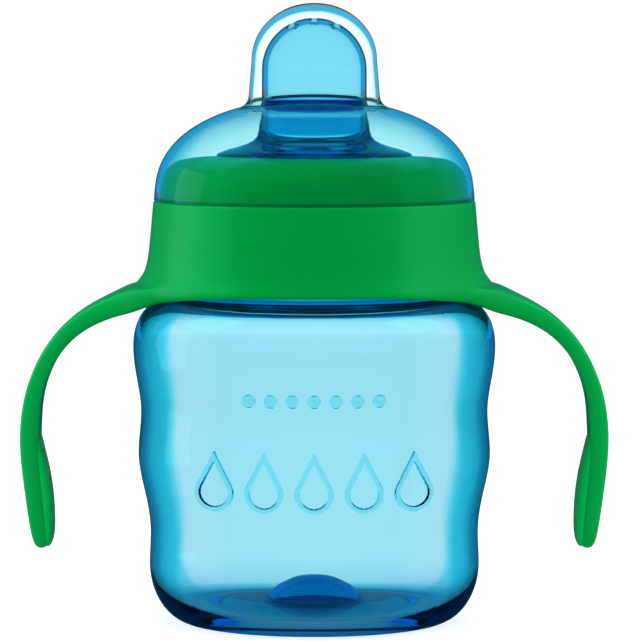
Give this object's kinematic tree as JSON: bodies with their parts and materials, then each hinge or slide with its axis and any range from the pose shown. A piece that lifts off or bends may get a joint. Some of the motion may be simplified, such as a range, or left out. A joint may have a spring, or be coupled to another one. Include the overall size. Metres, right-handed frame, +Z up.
{
  "type": "trainer cup",
  "caption": "Toddler trainer cup: see-through waisted cup, screw lid with curved grip handles, hard oval spout with valve, and a clear snap cap.",
  "frame": {"origin": "Centre of the surface the cup stands on, at the bottom of the base ring.", "axes": "+Z up along the cup's axis, X across the two handles, -Y the decorated front."},
  "size_m": [0.1174, 0.0724, 0.1239],
  "materials": {
    "cup_clear_blue": "clear blue moulded plastic, glossy, see-through",
    "spout_clear_blue": "clear blue moulded plastic, glossy, see-through",
    "cap_clear_blue": "thin clear blue moulded plastic, glossy, see-through",
    "green_plastic": "opaque green moulded plastic, smooth gloss",
    "green_soft_grip": "soft-touch green overmould, satin",
    "white_silicone": "translucent milky silicone, satin"
  },
  "bodies": {
    "cup": {"cup_body": "cup_clear_blue"},
    "spout_insert": {"spout": "spout_clear_blue", "rim_seal": "white_silicone"},
    "ring": {"screw_ring": "green_plastic", "handle_collar": "green_plastic", "left_grip_pad": "green_soft_grip", "right_grip_pad": "green_soft_grip"},
    "valve": {"valve_membrane": "white_silicone", "valve_retainer": "spout_clear_blue"},
    "cap": {"snap_cap": "cap_clear_blue"}
  },
  "joints": [
    {"name": "lid_lift", "type": "slide", "parent": "cup", "child": "spout_insert", "axis": [0, 0, 1], "range_m": [0, 0.006]},
    {"name": "ring_turn", "type": "hinge", "parent": "spout_insert", "child": "ring", "pos_m": [0, 0, 0.08], "axis": [0, 0, 1], "range_deg": [0, 540]},
    {"name": "cap_pull", "type": "slide", "parent": "spout_insert", "child": "cap", "axis": [0, 0, 1], "range_m": [0, 0.045]},
    {"name": "valve_pull", "type": "slide", "parent": "spout_insert", "child": "valve", "axis": [0, 0, -1], "range_m": [0, 0.02]}
  ],
  "couplings": [
    {"joint": "lid_lift", "follows": "ring_turn", "m_per_rad": 0.00063662}
  ]
}
